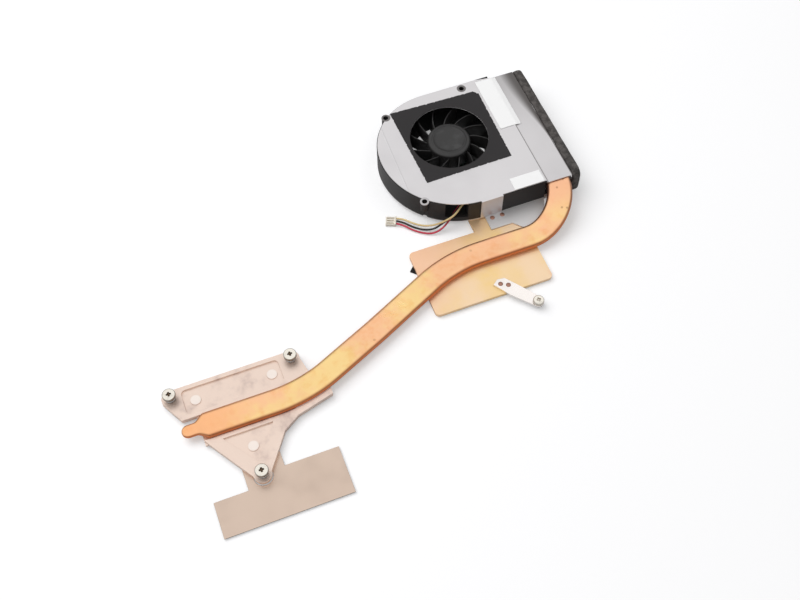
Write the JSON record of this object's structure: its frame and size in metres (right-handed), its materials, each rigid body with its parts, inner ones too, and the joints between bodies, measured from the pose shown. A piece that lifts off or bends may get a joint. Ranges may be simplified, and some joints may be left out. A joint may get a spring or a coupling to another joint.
{
  "type": "laptop cooling fan with heat pipe",
  "caption": "Portable computer cooler: flat blower with a fin stack, a bent flattened copper heat pipe, chip plates and sprung screws.",
  "frame": {"origin": "centre of the copper face that meets the processor", "axes": "+Z away from the mainboard, +X along the pipe's seat towards the fan, +Y towards the fan's rear"},
  "size_m": [0.1882, 0.1551, 0.0143],
  "materials": {
    "black_plastic": "fine moulded grain",
    "rotor_plastic": "satin",
    "cover_sheet": "satin rolled sheet",
    "base_sheet": "satin rolled sheet",
    "inlet_film": "matt film",
    "white_label": "coated paper",
    "copper": "satin, lightly oxidised",
    "cast_alloy": "tumbled casting",
    "chipset_sheet": "satin rolled sheet",
    "screw_nickel": "bright nickel",
    "arm_steel": "bright rolled",
    "spring_steel": "drawn wire",
    "fin_alloy": "bright foil",
    "gasket_foam": "open foam",
    "pad_rubber": "soft matt",
    "bearing_brass": "turned",
    "magnet": "sintered",
    "lamination": "stamped",
    "winding": "enamelled wire",
    "board": "solder mask",
    "wire_black": "smooth",
    "wire_yellow": "smooth",
    "wire_red": "smooth",
    "plug_plastic": "smooth"
  },
  "bodies": {
    "cooler": {"base_plate": "base_sheet", "fan_housing": "black_plastic", "fan_cover": "cover_sheet", "inlet_sheet": "inlet_film", "cover_label": "white_label", "cover_sticker": "white_label", "thrust_cap": "black_plastic", "bearing_sleeve": "bearing_brass", "bearing_holder": "bearing_brass", "motor_board": "board", "stator_core": "lamination", "stator_coils": "winding", "fin_stack": "fin_alloy", "outlet_gasket": "gasket_foam", "heat_pipe": "copper", "gpu_plate": "copper", "gpu_pad": "pad_rubber", "edge_foam": "gasket_foam", "chipset_pads": "pad_rubber", "gpu_arm": "arm_steel", "plate_rivets": "copper", "arm_rivets": "arm_steel", "cpu_block": "cast_alloy", "cpu_contact": "copper", "chipset_plate": "chipset_sheet", "wire_black": "wire_black", "wire_yellow": "wire_yellow", "wire_red": "wire_red", "cable_plug": "plug_plastic", "cpu_spring_a": "spring_steel", "cpu_spring_b": "spring_steel", "cpu_spring_c": "spring_steel"},
    "rotor": {"impeller": "rotor_plastic", "rotor_yoke": "spring_steel", "rotor_magnet": "magnet", "rotor_shaft": "spring_steel"},
    "arm_screw": {"gpu_screw": "screw_nickel", "gpu_screw_clip": "spring_steel"},
    "clip_a": {"cpu_clip_a": "spring_steel"},
    "screw_a": {"cpu_screw_a": "screw_nickel"},
    "clip_b": {"cpu_clip_b": "spring_steel"},
    "screw_b": {"cpu_screw_b": "screw_nickel"},
    "clip_c": {"cpu_clip_c": "spring_steel"},
    "screw_c": {"cpu_screw_c": "screw_nickel"}
  },
  "joints": [
    {"name": "fan_spin", "type": "hinge", "parent": "cooler", "child": "rotor", "pos_m": [0.1174, 0.0844, 0.006], "axis": [0, 0, 1], "continuous": true},
    {"name": "arm_screw_turn", "type": "hinge", "parent": "cooler", "child": "arm_screw", "pos_m": [0.1224, 0.0029, 0.002], "axis": [0, 0, -1], "continuous": true},
    {"name": "screw_a_press", "type": "slide", "parent": "cooler", "child": "clip_a", "axis": [0, 0, -1], "range_m": [0, 0.0012], "stiffness_N_per_m": 3000, "deforming": ["cpu_spring_a"]},
    {"name": "screw_a_turn", "type": "hinge", "parent": "clip_a", "child": "screw_a", "pos_m": [-0.02356, 0.0136, 0.003], "axis": [0, 0, -1], "continuous": true},
    {"name": "screw_b_press", "type": "slide", "parent": "cooler", "child": "clip_b", "axis": [0, 0, -1], "range_m": [0, 0.0012], "stiffness_N_per_m": 3000, "deforming": ["cpu_spring_b"]},
    {"name": "screw_b_turn", "type": "hinge", "parent": "clip_b", "child": "screw_b", "pos_m": [0.02356, 0.0136, 0.003], "axis": [0, 0, -1], "continuous": true},
    {"name": "screw_c_press", "type": "slide", "parent": "cooler", "child": "clip_c", "axis": [0, 0, -1], "range_m": [0, 0.0012], "stiffness_N_per_m": 3000, "deforming": ["cpu_spring_c"]},
    {"name": "screw_c_turn", "type": "hinge", "parent": "clip_c", "child": "screw_c", "pos_m": [0, -0.0272, 0.003], "axis": [0, 0, -1], "continuous": true}
  ]
}
